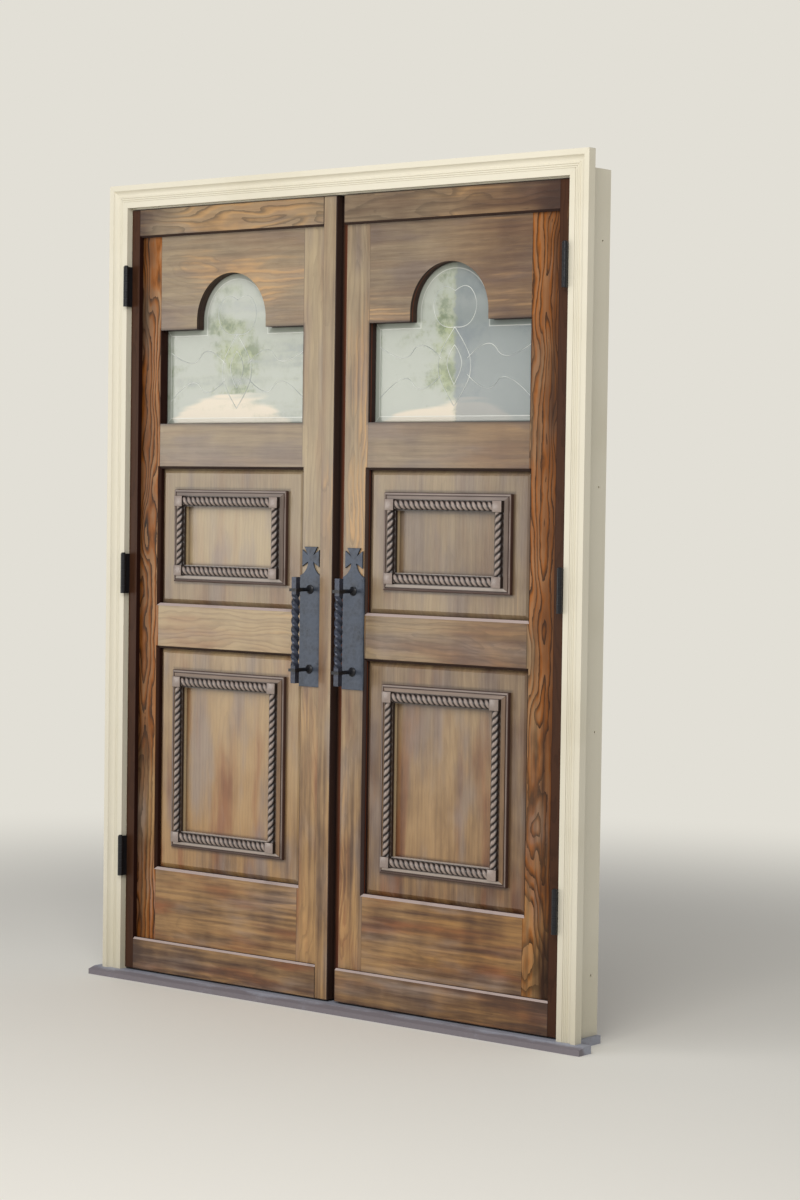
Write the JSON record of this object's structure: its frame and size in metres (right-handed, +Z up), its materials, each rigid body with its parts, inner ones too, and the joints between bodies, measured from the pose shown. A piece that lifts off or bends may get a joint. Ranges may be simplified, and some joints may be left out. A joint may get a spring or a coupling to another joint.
{
  "type": "wooden double door",
  "caption": "Outward-opening double door of stained timber: arched bevelled lights, raised panels, rope-twist trim, twisted iron pulls, moulded frame.",
  "frame": {"origin": "middle of the sill's underside, below the outer face of the stiles", "axes": "X to the right seen from outside, Y into the building, Z up"},
  "size_m": [1.9608, 0.217, 2.5475],
  "materials": {
    "frame_paint": "cream paint, satin",
    "sill_paint": "blue-grey floor paint, worn",
    "door_wood": "dark streaky stain under satin varnish",
    "panel_wood": "stain under satin varnish",
    "trim_wood": "dark red-brown stain under satin varnish",
    "glass": "clear, bevelled border, thin drawn curves",
    "iron": "forged, dark slate",
    "hinge_iron": "black",
    "steel": "brushed",
    "seal": "matt"
  },
  "bodies": {
    "frame": {"sill": "sill_paint", "left_jamb": "frame_paint", "right_jamb": "frame_paint", "head_jamb": "frame_paint", "left_casing": "frame_paint", "right_casing": "frame_paint", "head_casing": "frame_paint", "frame_seals": "seal", "sill_seal": "seal", "hinge_frame_leaves": "hinge_iron", "hinge_pins": "hinge_iron", "bolt_keepers": "steel"},
    "left_leaf": {"left_hinge_stile": "door_wood", "left_meeting_stile": "door_wood", "left_top_rail": "door_wood", "left_glass_rail": "door_wood", "left_lock_rail": "door_wood", "left_bottom_rail": "door_wood", "left_upper_panel": "panel_wood", "left_lower_panel": "panel_wood", "left_top_band": "door_wood", "left_bottom_band": "door_wood", "left_hinge_strip": "door_wood", "left_glass": "glass", "left_glazing_beads": "door_wood", "left_upper_moulding": "trim_wood", "left_lower_moulding": "trim_wood", "left_upper_rope_trim": "trim_wood", "left_lower_rope_trim": "trim_wood", "left_pull_plate": "iron", "left_pull_bar": "iron", "left_pull_posts": "iron", "left_pull_bolts": "iron", "left_hinge_leaves": "hinge_iron", "left_meeting_strip": "door_wood"},
    "right_leaf": {"right_hinge_stile": "door_wood", "right_meeting_stile": "door_wood", "right_top_rail": "door_wood", "right_glass_rail": "door_wood", "right_lock_rail": "door_wood", "right_bottom_rail": "door_wood", "right_upper_panel": "panel_wood", "right_lower_panel": "panel_wood", "right_top_band": "door_wood", "right_bottom_band": "door_wood", "right_hinge_strip": "door_wood", "right_glass": "glass", "right_glazing_beads": "door_wood", "right_upper_moulding": "trim_wood", "right_lower_moulding": "trim_wood", "right_upper_rope_trim": "trim_wood", "right_lower_rope_trim": "trim_wood", "right_pull_plate": "iron", "right_pull_bar": "iron", "right_pull_posts": "iron", "right_pull_bolts": "iron", "right_hinge_leaves": "hinge_iron", "right_bolt_guides": "steel"},
    "top_bolt": {"right_top_bolt": "steel"},
    "bottom_bolt": {"right_bottom_bolt": "steel"}
  },
  "joints": [
    {"name": "left_leaf_hinge", "type": "hinge", "parent": "frame", "child": "left_leaf", "pos_m": [-0.86735, -0.0405, 1.305], "axis": [0, 0, -1], "range_deg": [0, 95]},
    {"name": "right_leaf_hinge", "type": "hinge", "parent": "frame", "child": "right_leaf", "pos_m": [0.86735, -0.0405, 1.305], "axis": [0, 0, 1], "range_deg": [0, 95]},
    {"name": "top_bolt_slide", "type": "slide", "parent": "right_leaf", "child": "top_bolt", "axis": [0, 0, 1], "range_m": [0, 0.015]},
    {"name": "bottom_bolt_slide", "type": "slide", "parent": "right_leaf", "child": "bottom_bolt", "axis": [0, 0, -1], "range_m": [0, 0.015]}
  ]
}
